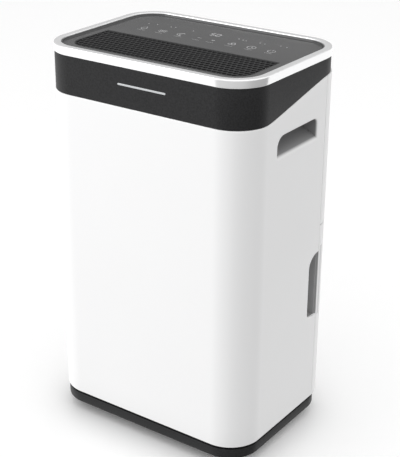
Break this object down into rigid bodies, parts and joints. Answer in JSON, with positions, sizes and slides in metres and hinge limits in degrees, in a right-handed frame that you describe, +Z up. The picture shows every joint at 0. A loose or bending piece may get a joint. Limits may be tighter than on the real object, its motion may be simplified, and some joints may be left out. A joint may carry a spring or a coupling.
{
  "type": "dehumidifier",
  "caption": "Portable compressor dehumidifier with recessed control deck, top air outlet, rear intake, pull-out water tank and swivel castors.",
  "frame": {"origin": "on the floor under the middle of the cabinet", "axes": "+Z up; the front faces -Y, the water tank and intake are at +Y, and +X is to the right seen from the front"},
  "size_m": [0.3064, 0.2214, 0.5137],
  "materials": {
    "white_plastic": "satin moulded",
    "black_plastic": "fine grained, matt",
    "grey_plastic": "fine grained, matt",
    "bright_rim": "polished",
    "light_lens": "frosted",
    "clear_plastic": "clear, tinted",
    "filter_net": "woven net",
    "black_rubber": "matt",
    "zinc_steel": "zinc plated",
    "copper_pipe": "drawn copper",
    "coil_aluminium": "bare",
    "black_enamel": "gloss enamel",
    "circuit_board": "solder mask",
    "float_foam": "closed-cell foam"
  },
  "bodies": {
    "cabinet": {"front_shell": "white_plastic", "rear_cover": "white_plastic", "drain_spout": "white_plastic", "base_plate": "black_plastic", "top_band": "black_plastic", "outlet_grille": "black_plastic", "tank_bay_frame": "black_plastic", "fan_housing": "black_plastic", "control_box": "black_plastic", "tank_switch": "black_plastic", "top_deck": "grey_plastic", "drip_tray": "grey_plastic", "humidity_sensor": "grey_plastic", "chrome_rim": "bright_rim", "light_bar": "light_lens", "cord_gland": "black_rubber", "compressor_grommet_1": "black_rubber", "compressor_grommet_2": "black_rubber", "compressor_grommet_3": "black_rubber", "fan_motor": "zinc_steel", "motor_bracket": "zinc_steel", "cover_screw_1": "zinc_steel", "cover_screw_2": "zinc_steel", "cover_screw_3": "zinc_steel", "cover_screw_4": "zinc_steel", "discharge_pipe": "copper_pipe", "suction_pipe": "copper_pipe", "suction_link": "copper_pipe", "capillary_tube": "copper_pipe", "evaporator": "coil_aluminium", "condenser": "coil_aluminium", "run_capacitor": "coil_aluminium", "compressor": "black_enamel", "accumulator": "black_enamel", "control_board": "circuit_board", "display_board": "circuit_board"},
    "intake_panel": {"intake_grille": "white_plastic", "filter_mesh": "filter_net"},
    "tank": {"water_tank": "white_plastic", "tank_lid": "white_plastic", "level_window": "clear_plastic", "float_pin": "zinc_steel"},
    "tank_float": {"float_arm": "white_plastic", "float": "float_foam"},
    "drain_plug": {"drain_cap": "black_rubber"},
    "fan_rotor": {"fan_impeller": "black_plastic", "fan_shaft": "zinc_steel"},
    "castor_front_right": {"castor_yoke_front_right": "zinc_steel", "castor_axle_front_right": "zinc_steel"},
    "wheel_front_right": {"castor_wheel_front_right": "black_rubber"},
    "castor_front_left": {"castor_yoke_front_left": "zinc_steel", "castor_axle_front_left": "zinc_steel"},
    "wheel_front_left": {"castor_wheel_front_left": "black_rubber"},
    "castor_rear_right": {"castor_yoke_rear_right": "zinc_steel", "castor_axle_rear_right": "zinc_steel"},
    "wheel_rear_right": {"castor_wheel_rear_right": "black_rubber"},
    "castor_rear_left": {"castor_yoke_rear_left": "zinc_steel", "castor_axle_rear_left": "zinc_steel"},
    "wheel_rear_left": {"castor_wheel_rear_left": "black_rubber"}
  },
  "joints": [
    {"name": "tank_slide", "type": "slide", "parent": "cabinet", "child": "tank", "axis": [0, 1, 0], "range_m": [0, 0.13]},
    {"name": "float_pivot", "type": "hinge", "parent": "tank", "child": "tank_float", "pos_m": [-0.07, 0.09, 0.262], "axis": [1, 0, 0], "range_deg": [-70, 0]},
    {"name": "intake_panel_slide", "type": "slide", "parent": "cabinet", "child": "intake_panel", "axis": [0, 1, 0], "range_m": [0, 0.06]},
    {"name": "drain_plug_slide", "type": "slide", "parent": "cabinet", "child": "drain_plug", "axis": [0, 1, 0], "range_m": [0, 0.03]},
    {"name": "fan_spin", "type": "hinge", "parent": "cabinet", "child": "fan_rotor", "pos_m": [0, -0.044, 0.388], "axis": [0, 1, 0], "continuous": true},
    {"name": "castor_swivel_front_right", "type": "hinge", "parent": "cabinet", "child": "castor_front_right", "pos_m": [0.124, -0.06, 0.03], "axis": [0, 0, 1], "continuous": true},
    {"name": "wheel_roll_front_right", "type": "hinge", "parent": "castor_front_right", "child": "wheel_front_right", "pos_m": [0.132, -0.06, 0.01079], "axis": [0, 1, 0], "continuous": true},
    {"name": "castor_swivel_front_left", "type": "hinge", "parent": "cabinet", "child": "castor_front_left", "pos_m": [-0.124, -0.06, 0.03], "axis": [0, 0, 1], "continuous": true},
    {"name": "wheel_roll_front_left", "type": "hinge", "parent": "castor_front_left", "child": "wheel_front_left", "pos_m": [-0.13152, -0.06274, 0.01079], "axis": [0.342, -0.9397, 0], "continuous": true},
    {"name": "castor_swivel_rear_right", "type": "hinge", "parent": "cabinet", "child": "castor_rear_right", "pos_m": [0.124, 0.0573, 0.03], "axis": [0, 0, 1], "continuous": true},
    {"name": "wheel_roll_rear_right", "type": "hinge", "parent": "castor_rear_right", "child": "wheel_rear_right", "pos_m": [0.11675, 0.06068, 0.01079], "axis": [-0.4226, -0.9063, 0], "continuous": true},
    {"name": "castor_swivel_rear_left", "type": "hinge", "parent": "cabinet", "child": "castor_rear_left", "pos_m": [-0.124, 0.0573, 0.03], "axis": [0, 0, 1], "continuous": true},
    {"name": "wheel_roll_rear_left", "type": "hinge", "parent": "castor_rear_left", "child": "wheel_rear_left", "pos_m": [-0.128, 0.06423, 0.01079], "axis": [-0.866, -0.5, 0], "continuous": true}
  ]
}
